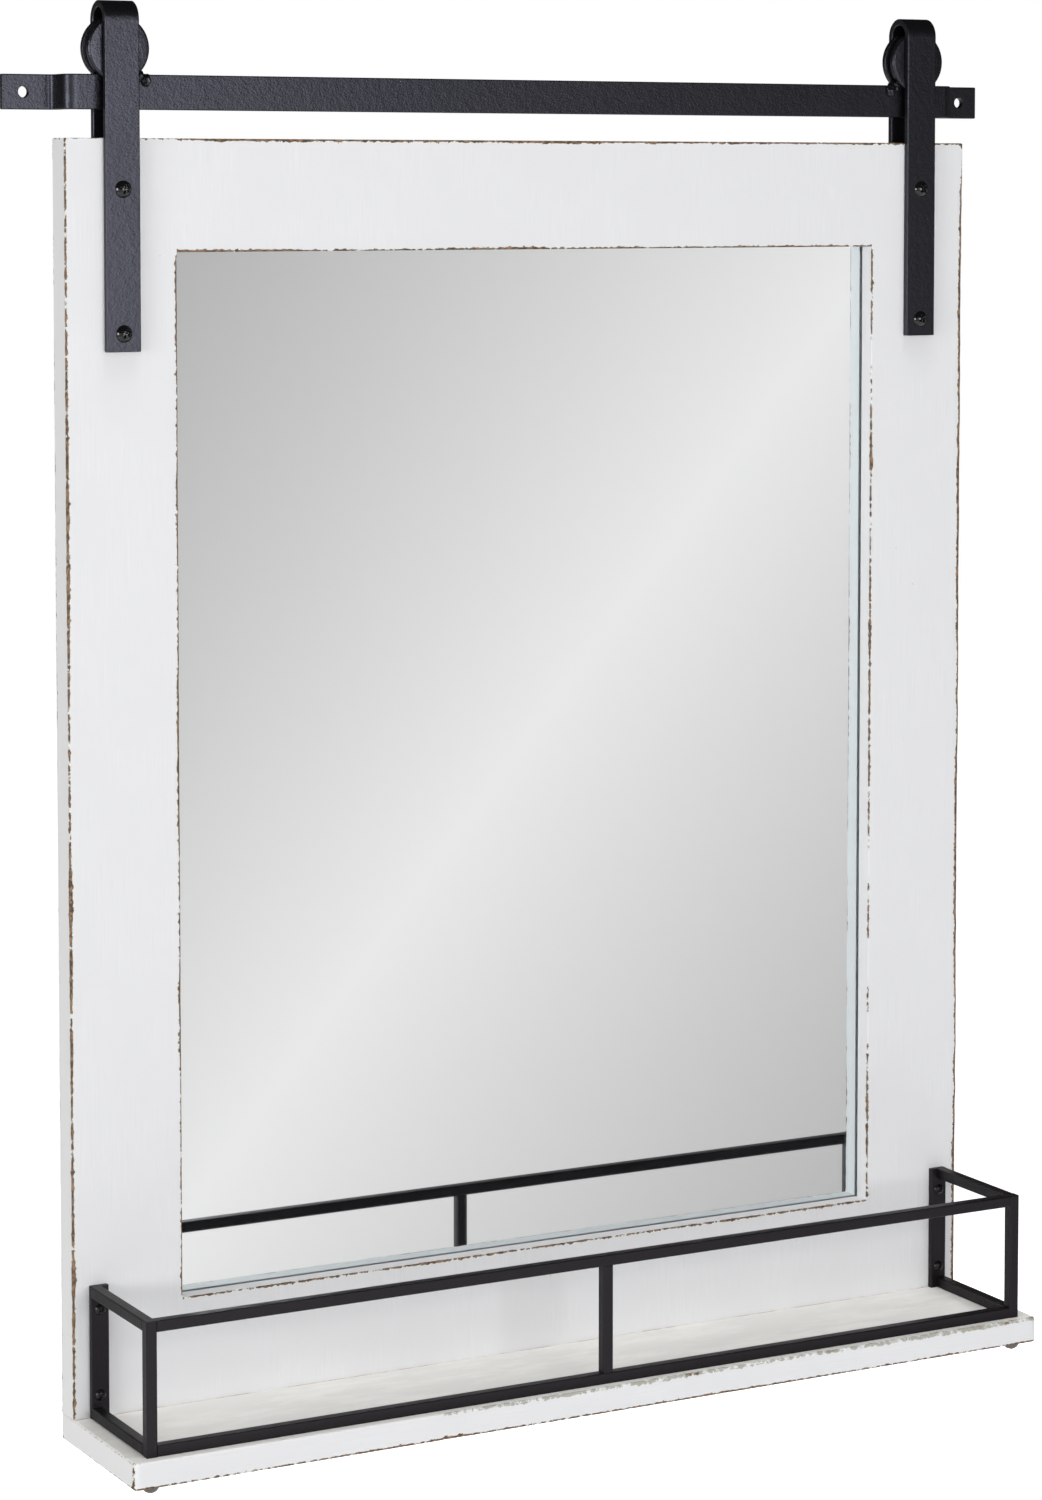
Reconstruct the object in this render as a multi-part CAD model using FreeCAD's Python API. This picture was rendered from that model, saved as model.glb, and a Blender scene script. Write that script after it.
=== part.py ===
import FreeCAD, Part
import math
import os

from FreeCAD import Vector

# Wall mirror with a shelf. It hangs from a flat steel rail by two straps bent over grooved wheels.
# Sizes are in millimetres. +X is to the right of someone facing the mirror, +Y goes into the wall
# and +Z is up. The origin lies midway between the two wall holes, on the face of the wall.

# Frame boards
frame_width = 560.0
frame_height = 674.4
frame_thickness = 17.0
top_rail_height = 59.6
bottom_rail_height = 57.4
stile_width = 62.7
board_edge_radius = 0.9
wall_gap = 10.2

# Glass and backing, in a rebate behind the opening
rebate_width = 8.0
glass_thickness = 2.4
backing_thickness = 4.6
rebate_play = 0.4

# Shelf board under the frame
shelf_overhang = 82.7
shelf_thickness = 14.3
shelf_edge_radius = 1.2

# Flat steel bar of the rail and the straps
bar_thickness = 3.6
bar_edge_bevel = 0.4
rail_height = 18.4
rail_lift = 14.8
rail_overhang = 24.8
rail_bend_radius = 2.7
wall_tab_length = 27.8
wall_hole_diameter = 6.0
wall_hole_from_end = 11.8

# Straps that carry the frame
strap_width = 19.2
strap_inset = 21.6
strap_drop = 111.3
strap_screw_from_end = 9.5
strap_screw_pitch = 75.2

# Grooved wheels on the rail
wheel_diameter = 34.4
wheel_groove_depth = 3.9
wheel_flange_bevel = 1.0
wheel_side_play = 0.4
wheel_reach_into_bend = 2.6
groove_play = 0.4
groove_wall_taper = 0.5
seat_play = 0.1
axle_diameter = 6.0
axle_play = 0.05
weld_radius = 3.8
weld_spread = 2.2

# Gallery of square bar round the shelf
gallery_height = 71.0
gallery_end_inset = 9.0
gallery_setback = 5.2
gallery_bar = 6.0
gallery_edge_radius = 0.6
rear_post_width = 10.0
rear_post_thickness = 3.5
post_screw_from_end = 12.5

# Dowels in the corner joints
dowel_diameter = 6.0
dowel_length = 30.0
dowel_edge_distance = 14.0
dowel_end_room = 1.0
dowel_play = 0.05

# Clips that hold the backing
clip_length = 26.0
clip_width = 12.0
clip_thickness = 1.2
clip_corner_cut = 2.5
clip_lap = 8.0
clip_hole_from_end = 6.0
clips_along_side = 2
clips_along_rail = 2

# Rubber pads between the frame and the wall
bumper_diameter = 15.0
bumper_tip_diameter = 12.0
bumper_above_shelf = 22.0
bumper_from_side = 22.0

# Screws with cross recesses
strap_head_diameter = 9.2
strap_head_height = 2.8
foot_head_diameter = 9.8
foot_head_height = 4.8
screw_shank_diameter = 3.4
strap_screw_length = 15.0
foot_screw_length = 24.0
small_head_diameter = 6.2
small_head_height = 2.0
small_head_crown = 3.8
small_shank_diameter = 3.0
post_screw_length = 14.0
clip_screw_length = 8.0
shelf_screw_head_diameter = 8.0
shelf_screw_shank_diameter = 4.0
shelf_screw_length = 42.0
shelf_screw_from_stile = 70.0
screw_hole_play = 0.1
recess_width = 1.1
recess_edge = 1.7
recess_depth = 1.5

# Places that follow from the sizes
side_x = frame_width / 2
back_y = -wall_gap
front_y = back_y - frame_thickness
middle_y = (front_y + back_y) / 2
frame_top_z = -rail_lift - rail_height / 2
shelf_top_z = frame_top_z - frame_height
shelf_bottom_z = shelf_top_z - shelf_thickness
shelf_front_y = front_y - shelf_overhang
opening_x = side_x - stile_width
opening_top_z = frame_top_z - top_rail_height
opening_bottom_z = shelf_top_z + bottom_rail_height
rebate_x = opening_x + rebate_width
rebate_top_z = opening_top_z + rebate_width
rebate_bottom_z = opening_bottom_z - rebate_width
backing_y = back_y - backing_thickness
glass_y = backing_y - glass_thickness

rail_end_x = side_x + rail_overhang
wall_hole_x = rail_end_x - wall_hole_from_end
rail_top_z = rail_height / 2
strap_x = side_x - strap_inset - strap_width / 2
strap_gap = frame_thickness - bar_thickness
rail_y = front_y + strap_gap / 2
wheel_radius = wheel_diameter / 2
wheel_root_radius = wheel_radius - wheel_groove_depth
wheel_z = rail_top_z + wheel_root_radius + seat_play
wheel_width = strap_gap - 2 * wheel_side_play
strap_top_z = wheel_z + wheel_radius - wheel_reach_into_bend + strap_gap / 2 + bar_thickness
strap_bottom_z = frame_top_z - strap_drop
strap_face_y = front_y - bar_thickness

gallery_x = side_x - gallery_end_inset
gallery_front_y = shelf_front_y + gallery_setback
gallery_top_z = shelf_top_z + gallery_height
rear_post_face_y = front_y - rear_post_thickness
front_post_x = gallery_x - gallery_bar / 2
front_post_y = gallery_front_y + gallery_bar / 2
rear_post_x = gallery_x - rear_post_width / 2
lower_bar_z = (shelf_top_z, shelf_top_z + gallery_bar)
upper_bar_z = (gallery_top_z - gallery_bar, gallery_top_z)

# Directions, and how close two coordinates must be to count as the same
across = Vector(1, 0, 0)
into_wall = Vector(0, 1, 0)
out_of_wall = Vector(0, -1, 0)
up = Vector(0, 0, 1)
same = 1e-6


def near(value, target):
    """Tell whether two coordinates are the same."""
    return abs(value - target) < same


def block(x_range, y_range, z_range):
    """Return a box between three pairs of coordinates."""
    low = Vector(x_range[0], y_range[0], z_range[0])
    return Part.makeBox(x_range[1] - low.x, y_range[1] - low.y, z_range[1] - low.z, low)


def between(centre, width):
    """Return the two ends of a width about its centre."""
    return centre - width / 2, centre + width / 2


def spread(low, high, count):
    """Return evenly spread places between two ends, half a step in from each."""
    return [low + (high - low) * (index + 0.5) / count for index in range(count)]


def both_sides(x, y, z):
    """Return a point and its mirror image across the middle of the frame."""
    return [Vector(-x, y, z), Vector(x, y, z)]


def edges_along(shape, axis):
    """Return the straight edges that run parallel to an axis."""
    return [edge for edge in shape.Edges
            if near(abs(edge.tangentAt(edge.FirstParameter).dot(axis)), 1)]


def edges_in_front(shape, y):
    """Return the edges that lie in the plane of a front face."""
    return [edge for edge in shape.Edges if all(near(corner.Y, y) for corner in edge.Vertexes)]


def left_of(start, end):
    """Return the unit vector to the left of a run from start to end, in the plane of the bends."""
    run = (end - start).normalize()
    return Vector(-run.y, run.x, 0)


def bar_side(corners, bend_radius, offset):
    """Return the edges of one side of a bent bar, offset to the left of its centre line."""
    point = corners[0] + left_of(corners[0], corners[1]) * offset
    edges = []
    for before, corner, after in zip(corners, corners[1:], corners[2:]):
        entry = left_of(before, corner)
        leaving = left_of(corner, after)
        turn = math.copysign(1, entry.cross(leaving).z)
        centre = corner + (entry + leaving) * (turn * bend_radius / (1 + entry.dot(leaving)))
        spoke = offset - turn * bend_radius
        start = centre + entry * spoke
        crown = centre + (entry + leaving).normalize() * spoke
        end = centre + leaving * spoke
        if point.distanceToPoint(start) > same:
            edges.append(Part.makeLine(point, start))
        edges.append(Part.Arc(start, crown, end).toShape())
        point = end
    last = corners[-1] + left_of(corners[-2], corners[-1]) * offset
    return edges + [Part.makeLine(point, last)]


def bent_bar(corners, bend_radius, width):
    """Bend the flat bar along a centre line in the plane z = 0, give it its width and ease its edges."""
    half = bar_thickness / 2
    outline = bar_side(corners, bend_radius, half) + bar_side(corners, bend_radius, -half)
    for end, neighbour in ((corners[0], corners[1]), (corners[-1], corners[-2])):
        side = left_of(end, neighbour) * half
        outline.append(Part.makeLine(end + side, end - side))
    bar = Part.Face(Part.Wire(Part.sortEdges(outline)[0])).extrude(up * width)
    rims = [edge for edge in bar.Edges if near(edge.BoundBox.ZLength, 0)]
    return bar.makeChamfer(bar_edge_bevel, rims)


def dome_head(head_diameter, head_height):
    """Return a domed screw head, a cap of a ball, standing on the plane z = 0."""
    rim = head_diameter / 2
    ball = (rim ** 2 + head_height ** 2) / (2 * head_height)
    whole = Part.makeSphere(ball, up * (head_height - ball))
    return whole.common(block(between(0, 2 * ball), between(0, 2 * ball), (0, head_height)))


def sunk_head(head_radius, shank_radius):
    """Return the cone of a countersunk head whose top lies in the plane z = 0."""
    height = head_radius - shank_radius
    return Part.makeCone(shank_radius, head_radius, height, up * -height)


def with_shank(head, shank_diameter, length):
    """Return a screw along the z axis: a head, and a plain shank below z = 0."""
    shank = Part.makeCylinder(shank_diameter / 2, length, up * -length)
    return head.fuse(shank).removeSplitter()


def domed_screw(head_diameter, head_height, length):
    """Return a screw as used on the straps and under the front posts: a domed head with a cross recess."""
    head = dome_head(head_diameter, head_height)
    arm = head_diameter - 2 * recess_edge
    depth = (head_height - recess_depth, head_height)
    slots = [block(between(0, arm), between(0, recess_width), depth),
             block(between(0, recess_width), between(0, arm), depth)]
    return with_shank(head, screw_shank_diameter, length).cut(slots)


def small_screw(length):
    """Return a screw of the size used on the rear posts and the clips, with a tapered head."""
    head = Part.makeCone(small_head_diameter / 2, small_head_crown / 2, small_head_height)
    return with_shank(head, small_shank_diameter, length)


def sunk_screw(length):
    """Return a screw of the size used to join shelf and frame, its head flush with the board."""
    head = sunk_head(shelf_screw_head_diameter / 2, shelf_screw_shank_diameter / 2)
    return with_shank(head, shelf_screw_shank_diameter, length)


def set_at(seats, direction, solid):
    """Return a copy of a screw at each seat, its shank along the direction."""
    turn = FreeCAD.Rotation(up * -1, direction)
    copies = [solid.copy() for seat in seats]
    for copy, seat in zip(copies, seats):
        copy.Placement = FreeCAD.Placement(seat, turn)
    return copies


def holes(seats, direction, shank_diameter, length):
    """Return the round holes that a set of screws needs."""
    radius = shank_diameter / 2 + screw_hole_play
    return [Part.makeCylinder(radius, length + screw_hole_play, seat, direction) for seat in seats]


def strap_screw_seats():
    """Return the points on the straps where their screws sit."""
    low = strap_bottom_z + strap_screw_from_end
    heights = (low, low + strap_screw_pitch)
    return [seat for z in heights for seat in both_sides(strap_x, strap_face_y, z)]


def post_screw_seats():
    """Return the points on the rear posts where their screws sit."""
    heights = (shelf_top_z + post_screw_from_end, gallery_top_z - post_screw_from_end)
    return [seat for z in heights for seat in both_sides(rear_post_x, rear_post_face_y, z)]


def foot_screw_seats():
    """Return the points under the shelf where the screws into the front posts sit."""
    return both_sides(front_post_x, front_post_y, shelf_bottom_z)


def shelf_screw_seats():
    """Return the points under the shelf where the screws into the frame sit."""
    places = (side_x - stile_width / 2, opening_x - shelf_screw_from_stile)
    return [seat for x in places for seat in both_sides(x, middle_y, shelf_bottom_z)]


def clip_places():
    """Return the screw point of each clip on the back, and the turn that aims it at the glass."""
    reach = clip_length - clip_hole_from_end - clip_lap
    places = []
    for z in spread(rebate_bottom_z, rebate_top_z, clips_along_side):
        places.append((Vector(-rebate_x - reach, back_y, z), 0))
        places.append((Vector(rebate_x + reach, back_y, z), 180))
    for x in spread(-rebate_x, rebate_x, clips_along_rail):
        places.append((Vector(x, back_y, rebate_bottom_z - reach), -90))
        places.append((Vector(x, back_y, rebate_top_z + reach), 90))
    return places


def clip_screw_seats():
    """Return the points on the clips where their screws sit."""
    return [point + into_wall * clip_thickness for point, turn in clip_places()]


def dowels(radius, length):
    """Return a rod across each corner joint, two to a joint."""
    heights = (frame_top_z - dowel_edge_distance, rebate_top_z + dowel_edge_distance,
               rebate_bottom_z - dowel_edge_distance, shelf_top_z + dowel_edge_distance)
    joints = [joint for z in heights for joint in both_sides(opening_x, middle_y, z)]
    return [Part.makeCylinder(radius, length, joint - across * (length / 2), across) for joint in joints]


def shelf_screw_holes():
    """Return the countersunk holes for the screws that join shelf and frame."""
    sink = sunk_head(shelf_screw_head_diameter / 2 + screw_hole_play,
                     shelf_screw_shank_diameter / 2 + screw_hole_play)
    seats = shelf_screw_seats()
    shanks = holes(seats, up, shelf_screw_shank_diameter, shelf_screw_length)
    return shanks + set_at(seats, up, sink)


def frame_holes():
    """Return every hole in the frame boards."""
    cuts = dowels(dowel_diameter / 2 + dowel_play, dowel_length + 2 * dowel_end_room)
    cuts += holes(strap_screw_seats(), into_wall, screw_shank_diameter, strap_screw_length)
    cuts += holes(post_screw_seats(), into_wall, small_shank_diameter, post_screw_length)
    cuts += holes(clip_screw_seats(), out_of_wall, small_shank_diameter, clip_screw_length)
    return cuts + shelf_screw_holes()


def frame_boards():
    """Shape the frame as one glued-up panel, then part it at its joints into four boards."""
    thickness = (front_y, back_y)
    whole_height = (shelf_top_z, frame_top_z)
    rail_span = (-opening_x, opening_x)
    panel = block((-side_x, side_x), thickness, whole_height)
    panel = panel.cut(block(rail_span, thickness, (opening_bottom_z, opening_top_z)))
    eased = [edge for edge in edges_in_front(panel, front_y) if edge.BoundBox.ZMax > shelf_top_z + same]
    panel = panel.makeFillet(board_edge_radius, eased)
    rebate = block((-rebate_x, rebate_x), (glass_y, back_y), (rebate_bottom_z, rebate_top_z))
    panel = panel.cut([rebate] + frame_holes())
    return {
        "left_stile": panel.common(block((-side_x, -opening_x), thickness, whole_height)),
        "right_stile": panel.common(block((opening_x, side_x), thickness, whole_height)),
        "top_rail": panel.common(block(rail_span, thickness, (opening_top_z, frame_top_z))),
        "bottom_rail": panel.common(block(rail_span, thickness, (shelf_top_z, opening_bottom_z))),
    }


def shelf_board():
    """Return the shelf, its front edges and front corners rounded, drilled for its screws."""
    board = block((-side_x, side_x), (shelf_front_y, back_y), (shelf_bottom_z, shelf_top_z))
    board = board.makeFillet(shelf_edge_radius, edges_in_front(board, shelf_front_y))
    foot_holes = holes(foot_screw_seats(), up, screw_shank_diameter, foot_screw_length)
    return board.cut(foot_holes + shelf_screw_holes())


def mirror_parts():
    """Return the glass in the rebate and the panel behind it."""
    width = (-rebate_x + rebate_play, rebate_x - rebate_play)
    height = (rebate_bottom_z + rebate_play, rebate_top_z - rebate_play)
    return {
        "mirror_glass": block(width, (glass_y, backing_y), height),
        "backing_board": block(width, (backing_y, back_y), height),
    }


def backing_clips():
    """Return the flat clips that hold the backing, each with a hole for its screw."""
    plate = block((-clip_hole_from_end, clip_length - clip_hole_from_end), (0, clip_thickness),
                  between(0, clip_width))
    plate = plate.makeChamfer(clip_corner_cut, edges_along(plate, into_wall))
    plate = plate.cut(holes([Vector(0, 0, 0)], into_wall, small_shank_diameter, clip_thickness))
    clips = []
    for point, turn in clip_places():
        clip = plate.copy()
        clip.Placement = FreeCAD.Placement(point, FreeCAD.Rotation(into_wall, turn))
        clips.append(clip)
    return clips


def frame_parts():
    """Return everything made of wood or glass, with the fasteners that hold it together."""
    parts = frame_boards()
    parts.update(mirror_parts())
    parts["shelf_board"] = shelf_board()
    parts["frame_dowels"] = Part.makeCompound(dowels(dowel_diameter / 2, dowel_length))
    shelf_screw = sunk_screw(shelf_screw_length)
    parts["shelf_screws"] = Part.makeCompound(set_at(shelf_screw_seats(), up, shelf_screw))
    parts["backing_clips"] = Part.makeCompound(backing_clips())
    clip_screw = small_screw(clip_screw_length)
    parts["clip_screws"] = Part.makeCompound(set_at(clip_screw_seats(), out_of_wall, clip_screw))
    pads = both_sides(side_x - bumper_from_side, back_y, shelf_top_z + bumper_above_shelf)
    bumpers = [Part.makeCone(bumper_diameter / 2, bumper_tip_diameter / 2, wall_gap, pad, into_wall)
               for pad in pads]
    parts["wall_bumpers"] = Part.makeCompound(bumpers)
    return parts


def wall_rail():
    """Return the rail: a flat bar stepped back at each end to a drilled tab on the wall."""
    tab_y = -bar_thickness / 2
    web_x = rail_end_x - wall_tab_length - bar_thickness / 2
    right = [Vector(web_x, rail_y, 0), Vector(web_x, tab_y, 0), Vector(rail_end_x, tab_y, 0)]
    left = [Vector(-corner.x, corner.y, 0) for corner in reversed(right)]
    rail = bent_bar(left + right, rail_bend_radius + bar_thickness / 2, rail_height)
    rail.translate(up * (-rail_height / 2))
    wall_holes = [Part.makeCylinder(wall_hole_diameter / 2, bar_thickness, seat, into_wall)
                  for seat in both_sides(wall_hole_x, -bar_thickness, 0)]
    return rail.cut(wall_holes)


def strap(x):
    """Return a strap: down the frame's face, over the wheel and back down to the top of the frame."""
    face = strap_face_y + bar_thickness / 2
    rear = back_y - bar_thickness / 2
    crown = strap_top_z - bar_thickness / 2
    corners = [Vector(face, strap_bottom_z, 0), Vector(face, crown, 0),
               Vector(rear, crown, 0), Vector(rear, frame_top_z, 0)]
    bar = bent_bar(corners, (rear - face) / 2, strap_width)
    upright = FreeCAD.Rotation(Vector(1, 1, 1), 120)
    bar.Placement = FreeCAD.Placement(across * (x - strap_width / 2), upright)
    return bar.cut(holes(strap_screw_seats(), into_wall, screw_shank_diameter, strap_screw_length))


def wheel(x):
    """Return a wheel with rounded flanges and a groove that straddles the rail."""
    half = wheel_width / 2
    mouth = bar_thickness / 2 + groove_play
    bore = axle_diameter / 2 + axle_play
    flange = [(bore, half), (wheel_radius - wheel_flange_bevel, half),
              (wheel_radius, half - wheel_flange_bevel), (wheel_radius, mouth + groove_wall_taper),
              (wheel_root_radius, mouth)]
    front = [Vector(radius, -reach, 0) for radius, reach in flange]
    rear = [Vector(radius, reach, 0) for radius, reach in reversed(flange)]
    section = Part.Face(Part.makePolygon(front + rear + front[:1]))
    solid = section.revolve(Vector(0, 0, 0), into_wall, 360)
    solid.translate(Vector(x, rail_y, wheel_z))
    return solid


def weld_bead(side, rail, rim):
    """Return the bead of weld in the corner between the rail and the inner side of a wheel."""
    drop = wheel_z - rail_top_z
    corner = math.sqrt(wheel_radius ** 2 - drop ** 2)
    bead = Part.makeSphere(weld_radius, Vector(side * (strap_x - corner - weld_spread), rail_y, rail_top_z))
    pieces = bead.cut([rail, rim]).Solids
    return max(pieces, key=lambda piece: piece.Volume)


def hanger_parts():
    """Return the rail, the straps, the wheels and what joins them."""
    parts = {"wall_rail": wall_rail()}
    beads = []
    for name, side in (("left", -1), ("right", 1)):
        x = side * strap_x
        parts[name + "_strap"] = strap(x)
        parts[name + "_wheel"] = wheel(x)
        parts[name + "_axle_pin"] = Part.makeCylinder(axle_diameter / 2, strap_gap,
                                                      Vector(x, front_y, wheel_z), into_wall)
        beads.append(weld_bead(side, parts["wall_rail"], parts[name + "_wheel"]))
    parts["weld_beads"] = Part.makeCompound(beads)
    strap_screw = domed_screw(strap_head_diameter, strap_head_height, strap_screw_length)
    parts["strap_screws"] = Part.makeCompound(set_at(strap_screw_seats(), into_wall, strap_screw))
    return parts


def gallery_rod(x_range, y_range, z_range, axis):
    """Return a length of gallery bar with its long edges eased."""
    rod = block(x_range, y_range, z_range)
    return rod.makeFillet(gallery_edge_radius, edges_along(rod, axis))


def gallery_side(side):
    """Return the posts and bars at one end of the gallery."""
    height = (shelf_top_z, gallery_top_z)
    bar_x = between(side * front_post_x, gallery_bar)
    reach = (gallery_front_y + gallery_bar, rear_post_face_y)
    front = gallery_rod(bar_x, between(front_post_y, gallery_bar), height, up)
    flat_x = between(side * rear_post_x, rear_post_width)
    rear = gallery_rod(flat_x, (rear_post_face_y, front_y), height, up)
    foot_holes = holes(foot_screw_seats(), up, screw_shank_diameter, foot_screw_length)
    post_holes = holes(post_screw_seats(), into_wall, small_shank_diameter, post_screw_length)
    return {
        "front_post": front.cut(foot_holes),
        "rear_post": rear.cut(post_holes),
        "top_side_bar": gallery_rod(bar_x, reach, upper_bar_z, into_wall),
        "bottom_side_bar": gallery_rod(bar_x, reach, lower_bar_z, into_wall),
    }


def gallery_parts():
    """Return the gallery round the shelf and the screws that hold it."""
    parts = {}
    for name, side in (("left", -1), ("right", 1)):
        for piece, shape in gallery_side(side).items():
            parts["gallery_" + name + "_" + piece] = shape
    depth = between(front_post_y, gallery_bar)
    width = (gallery_bar - gallery_x, gallery_x - gallery_bar)
    parts["gallery_top_bar"] = gallery_rod(width, depth, upper_bar_z, across)
    parts["gallery_bottom_bar"] = gallery_rod(width, depth, lower_bar_z, across)
    parts["gallery_middle_post"] = gallery_rod(between(0, gallery_bar), depth,
                                               (lower_bar_z[1], upper_bar_z[0]), up)
    post_screw = small_screw(post_screw_length)
    foot_screw = domed_screw(foot_head_diameter, foot_head_height, foot_screw_length)
    parts["gallery_post_screws"] = Part.makeCompound(set_at(post_screw_seats(), into_wall, post_screw))
    parts["gallery_foot_screws"] = Part.makeCompound(set_at(foot_screw_seats(), up, foot_screw))
    return parts


def main():
    """Write each part of the mirror to its own file."""
    os.makedirs("parts", exist_ok=True)
    for group in (frame_parts(), hanger_parts(), gallery_parts()):
        for name, shape in group.items():
            shape.exportStep("parts/" + name + ".step")


main()
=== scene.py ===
import math
from functools import partialmethod

import bpy
import numpy as np
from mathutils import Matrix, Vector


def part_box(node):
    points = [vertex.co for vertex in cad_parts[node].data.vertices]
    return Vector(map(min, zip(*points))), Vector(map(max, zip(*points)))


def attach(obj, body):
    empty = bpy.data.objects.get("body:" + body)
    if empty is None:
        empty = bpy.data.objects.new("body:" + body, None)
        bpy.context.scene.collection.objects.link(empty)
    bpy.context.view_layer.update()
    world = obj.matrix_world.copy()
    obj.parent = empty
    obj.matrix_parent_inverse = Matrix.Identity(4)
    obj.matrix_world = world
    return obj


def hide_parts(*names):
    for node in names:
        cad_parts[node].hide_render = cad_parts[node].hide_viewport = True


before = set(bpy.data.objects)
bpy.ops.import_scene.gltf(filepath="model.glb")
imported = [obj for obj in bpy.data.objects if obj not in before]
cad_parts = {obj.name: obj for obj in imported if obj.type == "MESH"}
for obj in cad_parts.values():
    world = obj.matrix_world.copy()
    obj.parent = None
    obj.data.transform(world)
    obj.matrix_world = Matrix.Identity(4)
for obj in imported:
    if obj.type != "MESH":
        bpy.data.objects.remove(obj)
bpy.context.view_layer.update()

bl_info = {
    "name": "Wall mirror with shelf",
    "version": (1, 0, 0),
    "blender": (4, 5, 0),
    "location": "3D View > Sidebar > Wall mirror",
    "description": "Builds the painted boards, glass, steel and screws of a wall mirror with a shelf",
    "category": "Object",
}

BODY = "root"

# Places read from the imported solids, in metres: lowest and highest corner of a node
STILE_LOW, STILE_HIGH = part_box("right_stile")
TOP_LOW, TOP_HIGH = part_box("top_rail")
BOTTOM_LOW, BOTTOM_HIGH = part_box("bottom_rail")
SHELF_LOW, SHELF_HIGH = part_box("shelf_board")
GLASS_LOW, GLASS_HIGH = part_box("mirror_glass")
STRAP_LOW, STRAP_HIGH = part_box("right_strap")
WHEEL_LOW, WHEEL_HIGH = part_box("right_wheel")
FRONT_POST_LOW, FRONT_POST_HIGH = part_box("gallery_right_front_post")
REAR_POST_LOW, REAR_POST_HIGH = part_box("gallery_right_rear_post")

# Boards: play of the glass in its rebate, radii of an edge left sharp and of the shelf's edge at the frame,
# widths over which the distance from an edge is measured, depth of the worn top, distance from which a point
# lies on a flat, wear above which an edge is chipped, and points of the section at each corner
REBATE_PLAY = 0.0004
SHARP_RADIUS, SEATED_RADIUS = 0.00003, 0.0003
EDGE_BAND, REBATE_BAND = 0.004, 0.002
BOARD_BANDS = (EDGE_BAND, EDGE_BAND, REBATE_BAND, REBATE_BAND, REBATE_BAND, EDGE_BAND)
WORN_TOP = 0.0035
FLAT_FROM = 0.0005
CHIPPED_FROM = 0.55
ARC_POINTS = 5
CORNER_POINTS = ARC_POINTS + 4

# Glass: how far its faces lie inside the solid, radius of its corners, gap before the silvering and its thickness
PANE_FRONT_INSET, PANE_BACK_INSET = 0.00012, 0.00016
GLASS_CORNER = 0.0008
SILVER_GAP, SILVER_THICKNESS = 0.00002, 0.00006

# Screws: head width, head height, shank width and length; places along the straps and rear posts
STRAP_SCREW = (0.0092, 0.0028, 0.0034, 0.014)
REAR_POST_SCREW = (0.0062, 0.0019, 0.003, 0.013)
FOOT_SCREW = (0.0098, 0.0047, 0.0034, 0.022)
STRAP_SCREW_INSET, STRAP_SCREW_SPACING = 0.0095, 0.0752
REAR_POST_SCREW_INSET = 0.0125
FORWARD, DOWN = (0, -1, 0), (0, 0, -1)

# Wheels: radius left on their turned edges
WHEEL_EDGE = 0.0003

# Weld lumps beside a wheel: place outward, depth from the wheel's middle, and height; half sizes; first seed
WELD_LUMPS = (
    ((0.2358, 0.0, 0.0086), (0.0032, 0.0038, 0.0034), 5),
    ((0.2322, -0.0024, 0.0062), (0.0027, 0.0026, 0.0033), 15),
    ((0.2368, -0.0021, 0.0098), (0.0020, 0.0020, 0.0019), 25),
)

# Camera, fitted to the photograph: place, angles below level and to the right, and shift of the lens
CAMERA_PLACE = (-1.04828, -1.95354, -0.04944)
CAMERA_DIP, CAMERA_TURN = 3.780, 28.272
CAMERA_SHIFT = -0.2
SURROUND_RADIUS = 2.4

WHITE = (1.0, 1.0, 1.0, 1.0)


# ---------------------------------------------------------------- settings

def length_setting(name, description, default, least=0.0001):
    """Return a setting for a length in metres."""
    return bpy.props.FloatProperty(name=name, description=description, default=default, min=least, unit="LENGTH")


def colour_setting(name, description, *default):
    """Return a setting for a colour."""
    return bpy.props.FloatVectorProperty(name=name, description=description, default=default, subtype="COLOR", size=3,
                                         min=0, max=1)


def power_setting(name, place, default):
    """Return a setting for the power of a soft box."""
    return bpy.props.FloatProperty(name=name, description="Power of the soft box " + place, default=default, min=0,
                                   unit="POWER")


class MirrorSizes(bpy.types.PropertyGroup):
    """Sizes that give the pieces their worn and rounded look."""
    edge_radius: length_setting("Board edge radius", "Rounding of a board's painted edge", 0.0007)
    chip_radius: length_setting("Chip size", "How much more an edge is rounded where it is most worn", 0.0012, 0.0)
    wear_reach: length_setting("Wear reach", "How far bare wood shows from a worn edge", 0.0013, 0.0)
    ring_step: length_setting("Board step", "Distance between two cross-sections of a board", 0.0016, 0.0005)
    shelf_corner: length_setting("Shelf corner radius", "Rounding of the shelf's front corners, seen from above",
                                 0.0028, 0.0002)
    glass_arris: length_setting("Glass arris", "Width of the ground edge round the glass", 0.0004)
    wheel_bevel: length_setting("Wheel bevel", "Width of the bevel round a wheel's face", 0.001)


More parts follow.
